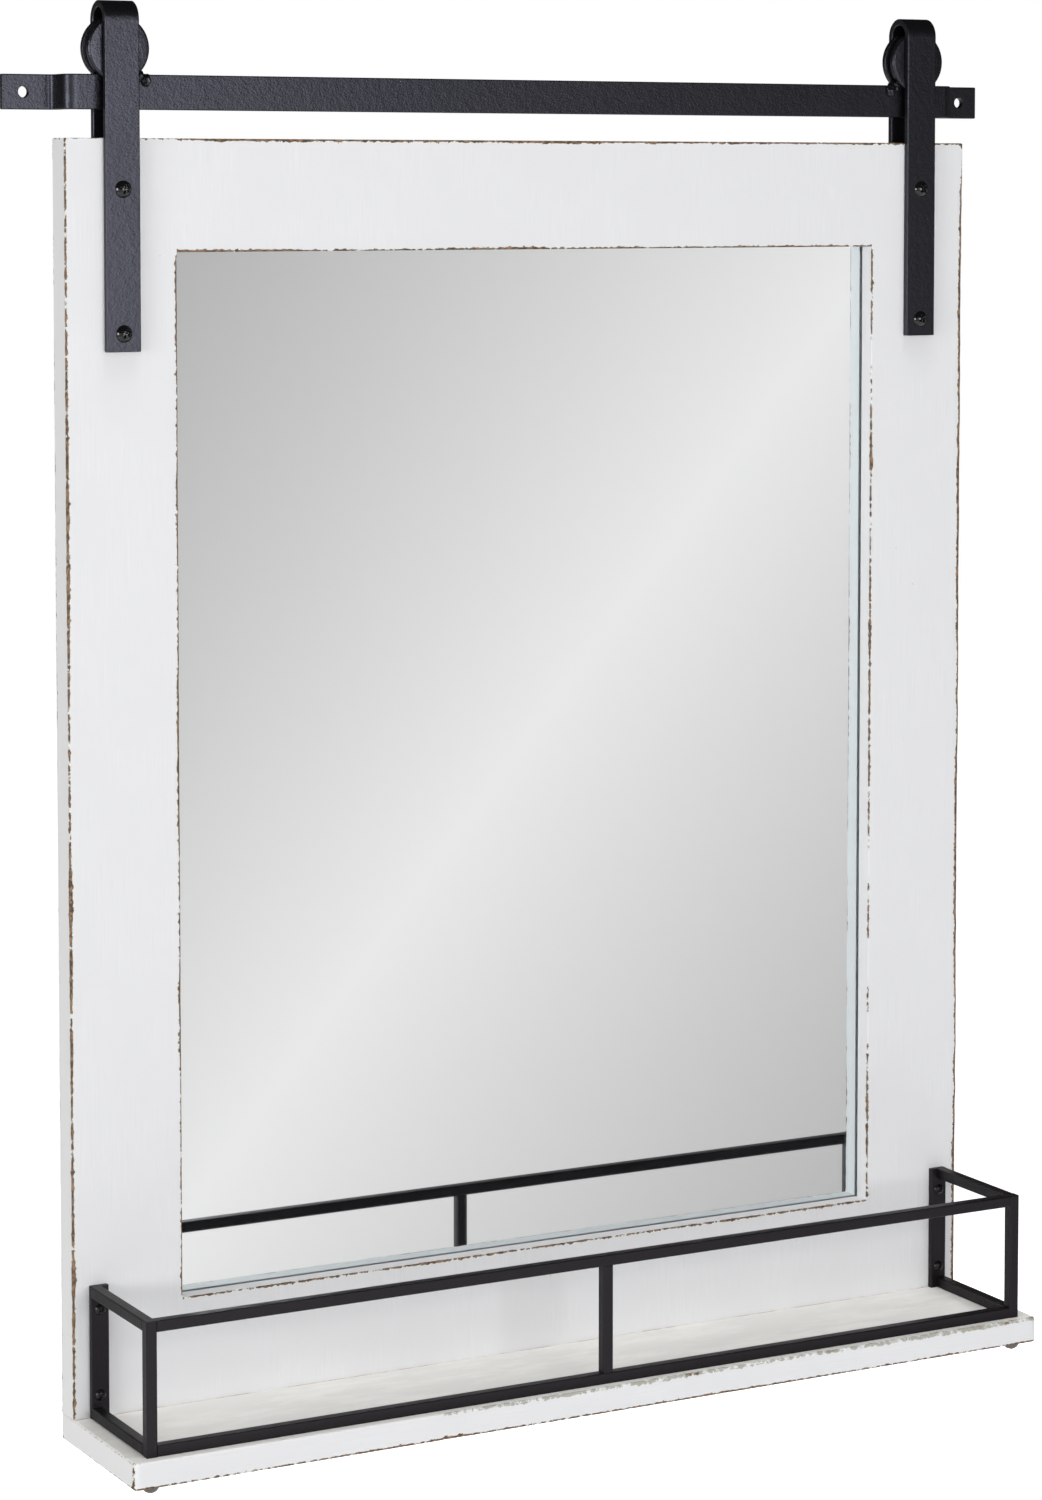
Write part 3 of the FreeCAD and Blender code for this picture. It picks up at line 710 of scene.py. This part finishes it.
def rail_shell(low, high, sizes, top_board):
    """Return one cross board: a section with a rebate carried from stile to stile, worn along its edges.

    The section's corners run as in stile_shell. The bottom board's outer edges are sharp, because it stands
    on the shelf.
    """
    x = spaced(low.x, high.x, sizes.ring_step)
    count = len(x)
    front, back, seat = low.y, high.y, GLASS_LOW.y
    if top_board:
        outer, inner, cut = high.z, low.z, GLASS_HIGH.z + REBATE_PLAY
        outer_wear, inner_wear, back_wear = top_wear(x), worn_line(x, 41, 0.46, 0.6), worn_line(x, 48, 0.22, 0.7)
        outer_radius = sizes.edge_radius
    else:
        outer, inner, cut = low.z, high.z, GLASS_LOW.z - REBATE_PLAY
        outer_wear, inner_wear, back_wear = 0, worn_line(x, 53, 0.40, 0.35), 0
        outer_radius = SHARP_RADIUS
    corners = np.stack((by_corner(count, front, front, seat, seat, back, back),
                        by_corner(count, outer, inner, inner, cut, cut, outer)), axis=2)
    wear = by_corner(count, outer_wear, inner_wear, 0, 0, 0, back_wear)
    radii = by_corner(count, outer_radius, sizes.edge_radius * 0.8, *[SHARP_RADIUS] * 3, outer_radius)
    section, edge = rounded_section(corners, chipped(radii, wear, sizes), BOARD_BANDS)
    worn = np.repeat(wear, CORNER_POINTS, axis=1)
    return Shell().add_rings(carried_across(x, section), edge=edge, wear=worn, rub=worn * 0.5)


def shelf_shell(sizes):
    """Return the shelf: a rounded section carried along the board, drawn in at both ends to round them too.

    The section's corners are the upper and lower front edges, and the lower and upper back edges. At the ends
    the wear comes and goes round the rim with a sine, and the flats of the ends are clean.
    """
    left, right = SHELF_LOW.x, SHELF_HIGH.x
    radius = sizes.edge_radius * 1.5
    steps = np.array((0.00008, 0.00025, 0.0005, 0.0008, 0.0012, 0.0018, 0.0028, 0.0045))
    x = spaced(left, right, sizes.ring_step, *(left + steps), *(right - steps))
    count = len(x)
    from_end = np.minimum(x - left, right - x)
    face = end_round(from_end, radius)
    front, back = SHELF_LOW.y + end_round(from_end, sizes.shelf_corner), SHELF_HIGH.y - face
    top, bottom = SHELF_HIGH.z - face, SHELF_LOW.z + face
    corners = np.stack((by_corner(count, front, front, back, back), by_corner(count, top, bottom, bottom, top)), axis=2)
    bumps = 0.4 * np.exp(-((x + 0.10) / 0.045) ** 2) * worn_line(x, 85, 0.6, 1.0)
    wear = by_corner(count, worn_line(x, 71, 0.02, 0.25) * np.clip((x + 0.03) / 0.05, 0, 1),
                     worn_line(x, 83, 0.36, 0.6) + bumps, worn_line(x, 91, 0.2, 0.5), 0)
    rubbed = by_corner(count, worn_line(x, 72, 0.62, 0.6) * np.clip((x + 0.12) / 0.08, 0.08, 1),
                       worn_line(x, 84, 0.1, 0.3), 0, 0)
    radii = chipped(np.full(wear.shape, radius), np.maximum(wear, rubbed), sizes)
    radii[:, 3] = SEATED_RADIUS
    section, edge = rounded_section(corners, radii, (EDGE_BAND,) * 4)
    worn, rub = np.repeat(wear, CORNER_POINTS, axis=1), np.repeat(rubbed, CORNER_POINTS, axis=1)
    ending = from_end < EDGE_BAND
    along = np.linspace(0, 1, section.shape[1])
    flat = edge > FLAT_FROM
    edge[ending] = np.minimum(edge[ending], from_end[ending][:, None])
    faint = np.clip(0.08 + 0.10 * np.sin(31.0 * along)[None], 0, 1)
    worn[ending] = np.where(flat[ending], faint, np.maximum(worn[ending], faint))
    rub[ending] = np.maximum(rub[ending], np.clip(0.22 + 0.3 * np.sin(23.0 * along)[None], 0, 1))
    points = carried_across(x, section)
    middle = between(SHELF_LOW, SHELF_HIGH)
    for end in (right, left):
        points, edge, worn = with_end(points, edge, worn, (end, *middle[1:]), steps[-1])
        rub = np.concatenate((rub, rub[-1:]))
        points, edge, worn, rub = points[::-1], edge[::-1], worn[::-1], rub[::-1]
    return Shell().add_rings(points, edge=edge, wear=worn, rub=rub)


# ---------------------------------------------------------------- small pieces

def steps_round(direction, around):
    """Return angles all the way round an axis that lies along x, y or z, and unit steps away from it at each."""
    angle = np.linspace(0, 2 * math.pi, around, endpoint=False)
    across = np.cross((0.0, 0.0, 1.0) if direction[2] == 0 else (1.0, 0.0, 0.0), direction)
    return angle, np.cos(angle)[:, None] * across + np.sin(angle)[:, None] * np.cross(direction, across)


def domed_screw(shell, seat, direction, screw, turn):
    """Add a screw with a domed head and a cross recess.

    Over the head, radius times angle is the grid. The height is a ball cap's, less a tapering cross: the
    depth falls to nothing as the distance from the nearer of the two arms passes half an arm's width. The
    head's rim drops to its seat, and the shank runs on into the wood.
    """
    head, height, shank, length = screw
    angle, steps = steps_round(direction, 72)
    share = np.linspace(0.015, 1.0, 40)
    r, a = np.meshgrid(share * head / 2, angle, indexing="ij")
    ball = (head ** 2 / 4 + height ** 2) / (2 * height)
    dome = np.sqrt(ball ** 2 - r ** 2) - (ball - height)
    u, v = np.abs(r * np.cos(a + turn)), np.abs(r * np.sin(a + turn))
    arm, half = head * 0.27, head * 0.072
    bars = [np.clip((half - beside) / (half * 0.45), 0, 1) * np.clip((arm - along) / (arm * 0.35), 0, 1)
            for along, beside in ((u, v), (v, u))]
    pit = np.clip(1 - r / (half * 2.4), 0, 1) * 0.4
    depth = height * 0.50 * np.clip(np.maximum(*bars) + pit, 0, 1.2)
    rim = np.array([(head / 2, 0.0), (shank / 2, 0.0), (shank / 2, -length * 0.8), (shank / 6, -length)])
    radius = np.concatenate((r, np.repeat(rim[:, :1], len(angle), axis=1)))
    rise = np.concatenate((dome - depth, np.repeat(rim[:, 1:], len(angle), axis=1)))
    shell.add_rings(np.asarray(seat) + rise[..., None] * np.asarray(direction) + radius[..., None] * steps)


def turned_piece(shell, centre, direction, profile, around=96):
    """Add a piece turned on a lathe: a closed profile of radius and reach, carried round its axis."""
    _, steps = steps_round(direction, around)
    radius, reach = np.asarray(profile).T[:, None, :, None]
    points = (np.asarray(centre) + radius * steps[:, None] + reach * np.asarray(direction)).reshape(-1, 3)
    shell.add(points, quads_between(around + 1, len(profile)) % len(points))


def softened(profile, radius, steps=4):
    """Return a closed profile with each corner rounded by a small radius, as in rounded_section."""
    corners = np.asarray(profile, float)
    before, after, near = sides_of(corners)
    r = np.minimum(radius, near * 0.45)[:, None]
    t = np.linspace(0, math.pi / 2, steps)[None, :, None]
    points = corners[:, None] + r * ((1 - np.sin(t)) * before[:, None] + (1 - np.cos(t)) * after[:, None])
    return points.reshape(-1, 2)


def weld_lump(shell, centre, size, seed):
    """Add a lump of weld: a ball whose radius swells and dips with sines of its two angles."""
    rng = np.random.default_rng(seed)
    phase = rng.random(6) * 6.28
    polar = np.linspace(0.04, math.pi - 0.04, 30)
    turn = np.linspace(0, 2 * math.pi, 48, endpoint=False)
    p, q = np.meshgrid(polar, turn, indexing="ij")
    swell = (1 + 0.12 * np.sin(3 * q + phase[0]) * np.sin(p)
             + 0.09 * np.sin(5 * p + phase[1]) * np.cos(2 * q + phase[2])
             + 0.05 * np.sin(7 * q + phase[3]) * np.sin(4 * p + phase[4]) * np.sin(p))
    ball = np.stack((np.sin(p) * np.cos(q), np.sin(p) * np.sin(q), np.cos(p)), axis=2)
    shell.add_rings(np.asarray(size) * swell[..., None] * ball + np.asarray(centre))


# ---------------------------------------------------------------- operators

class MIRROR_OT_stage(bpy.types.Operator):
    """Make the camera, the floor, the lights and what the glass sees"""
    bl_idname = "wall_mirror.stage"
    bl_label = "Stage"

    def execute(self, context):
        scene, stage = context.scene, context.scene.mirror_stage
        scene.view_settings.view_transform = "Standard"
        lens = bpy.data.cameras.new("camera")
        lens.lens, lens.sensor_width, lens.shift_y = stage.lens, 36.0, CAMERA_SHIFT
        scene.camera = placed("camera", lens)
        scene.camera.location = CAMERA_PLACE
        scene.camera.rotation_euler = (math.radians(90 - CAMERA_DIP), 0, math.radians(-CAMERA_TURN))
        self.world(scene, stage)
        self.floor(stage)
        self.surround()
        self.ceiling()
        self.soft_box("front_light", (0.10, -2.0, -0.18), (0.0, 0.0, -0.30), (1.0, 0.80), stage.front_power)
        self.soft_box("side_light", (-3.2, -0.95, -0.1), (0.0, 0.0, -0.35), (1.0, 1.1), stage.side_power)
        self.soft_box("top_light", (-0.1, -0.55, 2.6), (0.0, -0.07, -0.7), (1.4, 0.8), stage.top_power, False)
        self.soft_box("rear_light", (2.0, 1.8, 0.4), (0.0, 0.0, -0.35), (1.2, 1.2), stage.rear_power, False)
        return {"FINISHED"}

    def soft_box(self, name, place, aim, size, power, in_gloss=True):
        """Add a rectangular lamp that faces a point."""
        lamp = bpy.data.lights.new(name, "AREA")
        lamp.shape, lamp.energy = "RECTANGLE", power
        lamp.size, lamp.size_y = size
        thing = placed(name, lamp)
        thing.location = place
        thing.rotation_euler = (Vector(aim) - Vector(place)).to_track_quat("-Z", "Y").to_euler()
        thing.visible_glossy = in_gloss

    def sheet(self, name, points, material, kept=slice(None), gloss_only=False):
        """Add a sheet over a grid of points, an array of row by column by xyz, and return its mesh."""
        spot = np.arange(points[..., 0].size).reshape(points.shape[:2])
        quads = np.stack((spot[:-1, :-1], spot[:-1, 1:], spot[1:, 1:], spot[1:, :-1]), axis=2)[kept].reshape(-1, 4)
        mesh = bpy.data.meshes.new(name)
        mesh.from_pydata(points.reshape(-1, 3).tolist(), [], quads.tolist())
        mesh.materials.append(material)
        thing = placed(name, mesh)
        thing.visible_camera = thing.visible_diffuse = thing.visible_shadow = not gloss_only
        return mesh

    def world(self, scene, stage):
        """White for the eye and in gloss and glass, a plain grey light for everything else."""
        scene.world = bpy.data.worlds.new("studio")
        scene.world.use_nodes = True
        tree = scene.world.node_tree
        feed(tree.nodes["Background"], Color=WHITE, Strength=seen(tree).remap(0.0, 1.0, stage.ambient, 1.0))

    def floor(self, stage):
        """A wide pale floor; the eye sees it lifted to white, and the object's shadow stays on it."""
        u, v = np.meshgrid(np.linspace(9, -9, 13), np.linspace(-9, 9, 13), indexing="ij")
        material, place, shader = new_material("floor_paint", Specular_IOR_Level=0.0, Roughness=0.9,
                                               Base_Color=(0.86, 0.86, 0.86, 1.0), Emission_Color=WHITE)
        away = place.node("ShaderNodeVectorMath", (place, (0.0, 0.0, stage.floor_height)), "Value",
                          operation="DISTANCE")
        feed(shader, Emission_Strength=seen(place.tree) * away.remap(0.4, 3.2, 0.45, 0.80))
        self.sheet("floor", np.stack((u, v, np.full_like(u, stage.floor_height)), axis=2), material)

    def ceiling(self):
        """A dark ceiling that only gloss sees, so that upward faces of the steel stay black."""
        u, v = np.meshgrid(np.linspace(-3.2, 3.2, 5), np.linspace(-3.2, 3.2, 5), indexing="ij")
        material = new_material("ceiling_paint", Base_Color=(0.03, 0.03, 0.03, 1.0), Roughness=0.9,
                                Specular_IOR_Level=0.0)[0]
        points = np.stack((u, v, 2.3 - 0.05 * (u ** 2 + v ** 2)), axis=2)
        self.sheet("ceiling", points, material, gloss_only=True)

    def surround(self):
        """A ring of cloth that only gloss and glass see: a bright band in front, paler on the left, dim behind.

        A window on the left lets gloss see the side light, a bright patch high in front lifts the steel on the
        left, and a dim strip on the right keeps the steel there black.
        """
        turn, height = np.meshgrid(np.radians(np.linspace(-180, 180, 181)), np.linspace(-1.40, 1.5, 30), indexing="ij")
        points = np.stack((SURROUND_RADIUS * np.sin(turn), -SURROUND_RADIUS * np.cos(turn), height), axis=2)
        window = (turn > -1.49) & (turn < -1.09) & (height > -0.75) & (height < 0.40)
        material, place, shader = new_material("surround_cloth")
        mesh = self.sheet("surround", points, material, ~window[:-1, :-1], gloss_only=True)
        set_values(mesh, "arc", (turn * SURROUND_RADIUS).ravel())
        along, level = place.attribute("arc"), place.parts()[2]
        slope = along * 0.25487 - level * 0.18351
        tone = (0.909 - abs(slope - 0.42654)).at_least(0.66)
        band = tone ** 2.25 * 1.19
        sweep = level.remap(-1.0, -0.45, 0.60, 1.20).at_least(level.remap(-1.40, -0.98, 1.25, 0.60))
        left = along.remap(0.58, 0.28)
        cloth = left.node("ShaderNodeMix", {"Factor": left, "A": band, "B": sweep}, data_type="FLOAT")
        dimmed = abs(along).remap(3.55, 3.95, 1.0, 0.35) * level.remap(-0.10, 0.15, 1.0, 0.08)
        strip = along.remap(1.60, 1.95, 1.0, 0.15).at_least(along.remap(2.6, 3.2, 0.15, 1.0))
        high = level.remap(-0.05, 0.10).at_most(level.remap(0.60, 0.45))
        patch = high.at_most(along.remap(0.66, 0.45).at_most(along.remap(-1.6, -1.2)))
        glow = cloth * (dimmed * strip) + patch * 3.5
        lamp = glow.node("ShaderNodeEmission", {"Color": (1.0, 0.932, 0.921, 1), "Strength": glow})
        place.tree.nodes.remove(shader)
        plug(place.tree.nodes["Material Output"].inputs["Surface"], lamp)


class MIRROR_OT_frame_boards(bpy.types.Operator):
    """Make the two stiles and two rails of the painted frame"""
    bl_idname = "wall_mirror.frame_boards"
    bl_label = "Frame boards"

    def execute(self, context):
        sizes, colours = context.scene.mirror_sizes, context.scene.mirror_colours
        # The uprights' sides of the opening take painted light from the mirror
        upright = painted_wood("worn_paint_upright", colours, sizes, (1.0, 1.0, 0.035), mirror_lit_from=STILE_LOW.x)
        lying = painted_wood("worn_paint_lying", colours, sizes, (1.0, 1.0, 0.05))
        slot = "white_painted_wood"
        stile_shell(-1, sizes).piece("stile_left_painted", upright, slot, "left_stile")
        stile_shell(1, sizes).piece("stile_right_painted", upright, slot, "right_stile")
        rail_shell(TOP_LOW, TOP_HIGH, sizes, True).piece("rail_top_painted", lying, slot, "top_rail")
        rail_shell(BOTTOM_LOW, BOTTOM_HIGH, sizes, False).piece("rail_bottom_painted", lying, slot, "bottom_rail")
        return {"FINISHED"}


class MIRROR_OT_shelf(bpy.types.Operator):
    """Make the shelf board"""
    bl_idname = "wall_mirror.shelf"
    bl_label = "Shelf"

    def execute(self, context):
        sizes, colours = context.scene.mirror_sizes, context.scene.mirror_colours
        paint = painted_wood("worn_paint_shelf", colours, sizes, (0.05, 1.0, 1.0), warm_above=SHELF_HIGH.z)
        shelf_shell(sizes).piece("shelf_painted", paint, "white_painted_wood", "shelf_board")
        return {"FINISHED"}


class MIRROR_OT_glass(bpy.types.Operator):
    """Make the pane of glass, with a ground arris, and the silvering behind it"""
    bl_idname = "wall_mirror.glass"
    bl_label = "Glass and silvering"

    def execute(self, context):
        arris = context.scene.mirror_sizes.glass_arris
        front, back = GLASS_LOW.y + PANE_FRONT_INSET, GLASS_HIGH.y - PANE_BACK_INSET
        pane = self.sheet((arris, front), (0.0, front + arris), (0.0, back - arris), (arris, back))
        pane.piece("mirror_pane", clear_glass("mirror_glass_clear"), "mirror", "mirror_glass", sharp=20.0)
        near = back + SILVER_GAP
        metal = silvering("mirror_silver", context.scene.mirror_colours.silver)
        silver = self.sheet((arris, near), (arris, near + SILVER_THICKNESS))
        silver.piece("mirror_silvering", metal, "mirror", "mirror_glass", sharp=20.0)
        return {"FINISHED"}

    def sheet(self, *steps):
        """Return an upright sheet: its outline with rounded corners, drawn in by a margin at each depth."""
        rings = []
        for margin, y in steps:
            low_x, high_x = GLASS_LOW.x + margin, GLASS_HIGH.x - margin
            low_z, high_z = GLASS_LOW.z + margin, GLASS_HIGH.z - margin
            outline = softened([(low_x, low_z), (high_x, low_z), (high_x, high_z), (low_x, high_z)], GLASS_CORNER)
            rings.append(np.stack((outline[:, 0], np.full(len(outline), y), outline[:, 1]), axis=1))
        return Shell().add_rings(np.stack(rings))


class MIRROR_OT_hanger(bpy.types.Operator):
    """Dress the wall rail and the straps, and make the wheels and the lumps of weld"""
    bl_idname = "wall_mirror.hanger"
    bl_label = "Rail, straps and wheels"

    def execute(self, context):
        sizes, colours = context.scene.mirror_sizes, context.scene.mirror_colours
        coat = coated_steel("black_coat_bar", colours.black_coat, 0.36, rounding=0.0005)
        dress(coat, "wall_rail", "left_strap", "right_strap")
        wheel_coat = coated_steel("black_coat_wheel", colours.black_coat, 0.34, 1000.0)
        wheel_x, wheel_y, wheel_z = between(WHEEL_LOW, WHEEL_HIGH)
        radius, half = (WHEEL_HIGH.z - WHEEL_LOW.z) / 2, (WHEEL_HIGH.y - WHEEL_LOW.y) / 2
        profile = softened(self.wheel_profile(radius, half, sizes.wheel_bevel), WHEEL_EDGE)
        for name, side in (("left", -1), ("right", 1)):
            shell = Shell()
            turned_piece(shell, (side * wheel_x, wheel_y, wheel_z), FORWARD, profile)
            shell.piece("wheel_" + name, wheel_coat, "black_steel", name + "_wheel", sharp=50.0)
        lumps = Shell()
        for side in (-1, 1):
            for (out, depth, up), size, seed in WELD_LUMPS:
                weld_lump(lumps, (side * out, wheel_y + depth, up), size, seed + side)
        lumps.piece("weld_lumps", wheel_coat, "black_steel", "weld_beads", sharp=80.0)
        return {"FINISHED"}

    def wheel_profile(self, radius, half, bevel):
        """Return a wheel's half section, closed: bore, face, bevelled rim, groove, and back again."""
        bore, root, mouth = 0.00305, radius - 0.0039, 0.0022
        face = [(bore, half), (radius - bevel, half), (radius, half - bevel), (radius, mouth + 0.0005), (root, mouth)]
        return face + [(r, -reach) for r, reach in reversed(face)]


class MIRROR_OT_screws(bpy.types.Operator):
    """Make the screws with their cross recesses"""
    bl_idname = "wall_mirror.screws"
    bl_label = "Screws"

    def execute(self, context):
        colours = context.scene.mirror_colours
        smooth = {"cells": 1500.0, "peel_depth": 0.00001, "tint": WHITE[:3]}
        black = coated_steel("black_screw_finish", colours.screw_black, 0.06, gloss_level=0.42, **smooth)
        dull = coated_steel("dull_screw_finish", colours.screw_black, 0.32, gloss_level=0.30, **smooth)
        # Painted shade: the screws under the shelf take the darker zinc
        dark = plated_steel("shaded_zinc_finish", colours.shaded_zinc)
        strap_x, post_x = between(STRAP_LOW, STRAP_HIGH)[0], between(REAR_POST_LOW, REAR_POST_HIGH)[0]
        foot_x, foot_y, _ = between(FRONT_POST_LOW, FRONT_POST_HIGH)
        low = STRAP_LOW.z + STRAP_SCREW_INSET
        strap, post, foot = Shell(), Shell(), Shell()
        for z, turns in ((low, (0.35, 1.05)), (low + STRAP_SCREW_SPACING, (0.15, 0.7))):
            for side, turn in zip((-1, 1), turns):
                domed_screw(strap, (side * strap_x, STRAP_LOW.y, z), FORWARD, STRAP_SCREW, turn)
        inset = REAR_POST_SCREW_INSET
        for z, turn in ((REAR_POST_LOW.z + inset, 0.5), (REAR_POST_HIGH.z - inset, 0.9)):
            for side in (-1, 1):
                domed_screw(post, (side * post_x, REAR_POST_LOW.y, z), FORWARD, REAR_POST_SCREW, turn)
        for side in (-1, 1):
            domed_screw(foot, (side * foot_x, foot_y, SHELF_LOW.z), DOWN, FOOT_SCREW, 0.4)
        strap.piece("screws_strap", black, "black_screws", "strap_screws")
        post.piece("screws_rear_post", dull, "black_screws", "gallery_post_screws")
        foot.piece("screws_foot", dark, "zinc_steel", "gallery_foot_screws")
        dress(plated_steel("zinc_screw_finish", colours.zinc), "shelf_screws", "clip_screws", "backing_clips",
              "left_axle_pin", "right_axle_pin")
        return {"FINISHED"}


class MIRROR_OT_gallery(bpy.types.Operator):
    """Dress the bars and posts of the gallery round the shelf"""
    bl_idname = "wall_mirror.gallery"
    bl_label = "Gallery"

    def execute(self, context):
        coat = coated_steel("black_coat_gallery", context.scene.mirror_colours.black_coat, 0.44, cells=900.0,
                            gloss_level=0.26, tint=(0.97, 0.90, 1.0), rounding=0.0009)
        dress(coat, *(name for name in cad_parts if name.startswith("gallery_") and not name.endswith("screws")))
        return {"FINISHED"}


class MIRROR_OT_back(bpy.types.Operator):
    """Dress the backing board, the pads and the dowels"""
    bl_idname = "wall_mirror.back"
    bl_label = "Back"

    def execute(self, context):
        colours = context.scene.mirror_colours
        dress(hardboard("brown_hardboard", colours.backing), "backing_board")
        dress(soft_rubber("black_rubber", colours.rubber), "wall_bumpers")
        dress(pale_wood("dowel_wood", colours.bare_wood), "frame_dowels")
        return {"FINISHED"}


class MIRROR_PT_panel(bpy.types.Panel):
    """Lists the pieces and their settings"""
    bl_idname = "MIRROR_PT_panel"
    bl_label = "Wall mirror"
    bl_space_type = "VIEW_3D"
    bl_region_type = "UI"
    bl_category = "Wall mirror"

    def draw(self, context):
        for operator in OPERATORS:
            self.layout.operator(operator.bl_idname)
        scene = context.scene
        for group in (scene.mirror_sizes, scene.mirror_colours, scene.mirror_stage):
            box = self.layout.box()
            for name in group.__annotations__:
                box.prop(group, name)


OPERATORS = (MIRROR_OT_stage, MIRROR_OT_frame_boards, MIRROR_OT_shelf, MIRROR_OT_glass, MIRROR_OT_hanger,
             MIRROR_OT_screws, MIRROR_OT_gallery, MIRROR_OT_back)
CLASSES = (MirrorSizes, MirrorColours, StageSettings, *OPERATORS, MIRROR_PT_panel)


def register():
    for kind in CLASSES:
        bpy.utils.register_class(kind)
    bpy.types.Scene.mirror_sizes = bpy.props.PointerProperty(type=MirrorSizes)
    bpy.types.Scene.mirror_colours = bpy.props.PointerProperty(type=MirrorColours)
    bpy.types.Scene.mirror_stage = bpy.props.PointerProperty(type=StageSettings)


def unregister():
    del bpy.types.Scene.mirror_sizes, bpy.types.Scene.mirror_colours, bpy.types.Scene.mirror_stage
    for kind in reversed(CLASSES):
        bpy.utils.unregister_class(kind)


def main():
    """Build every piece in order."""
    register()
    bpy.ops.wall_mirror.stage()
    bpy.ops.wall_mirror.frame_boards()
    bpy.ops.wall_mirror.shelf()
    bpy.ops.wall_mirror.glass()
    bpy.ops.wall_mirror.hanger()
    bpy.ops.wall_mirror.screws()
    bpy.ops.wall_mirror.gallery()
    bpy.ops.wall_mirror.back()
    bpy.context.view_layer.update()


if __name__ == "__main__":
    main()
